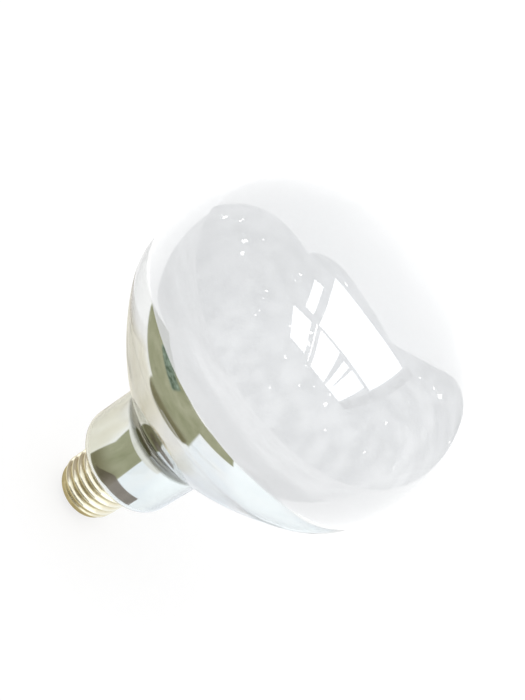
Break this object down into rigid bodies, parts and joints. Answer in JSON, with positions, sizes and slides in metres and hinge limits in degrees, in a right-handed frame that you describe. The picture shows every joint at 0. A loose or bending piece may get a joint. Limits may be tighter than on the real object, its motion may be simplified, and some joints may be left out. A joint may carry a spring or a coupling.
{
  "type": "heat lamp bulb",
  "caption": "Infrared heat lamp bulb: blown glass reflector bulb with silvered neck and bowl, lightly frosted domed front and ring filament, on a brass screw base",
  "frame": {"origin": "middle of the flat tip of the solder drop on the centre contact, on the bulb's axis", "axes": "+Z runs along the bulb's axis from the base to the domed front; -X is the side where one lead is soldered to the shell's rim"},
  "size_m": [0.125, 0.125, 0.166],
  "materials": {
    "clear_glass": "clear blown glass, lightly frosted inside at the bulb's front",
    "silvering": "vapour-coated mirror",
    "brass": "rolled bright sheet",
    "black_glass": "cast glossy black glass",
    "solder": "soft solder",
    "cement": "baked basing cement",
    "shield_metal": "pressed sheet",
    "lead_wire": "drawn wire",
    "post_wire": "drawn nickel wire",
    "tungsten": "coiled drawn wire",
    "support_wire": "drawn wire"
  },
  "bodies": {
    "root": {"glass_envelope": "clear_glass", "mirror_coating": "silvering", "screw_shell": "brass", "base_insulator": "black_glass", "centre_contact": "brass", "contact_solder": "solder", "rim_solder": "solder", "basing_cement": "cement", "stem_tube": "clear_glass", "exhaust_tube": "clear_glass", "support_rod": "clear_glass", "heat_shield": "shield_metal", "tip_lead": "lead_wire", "rim_lead": "lead_wire", "tip_post": "post_wire", "rim_post": "post_wire", "filament": "tungsten", "support_wires": "support_wire"}
  },
  "joints": []
}
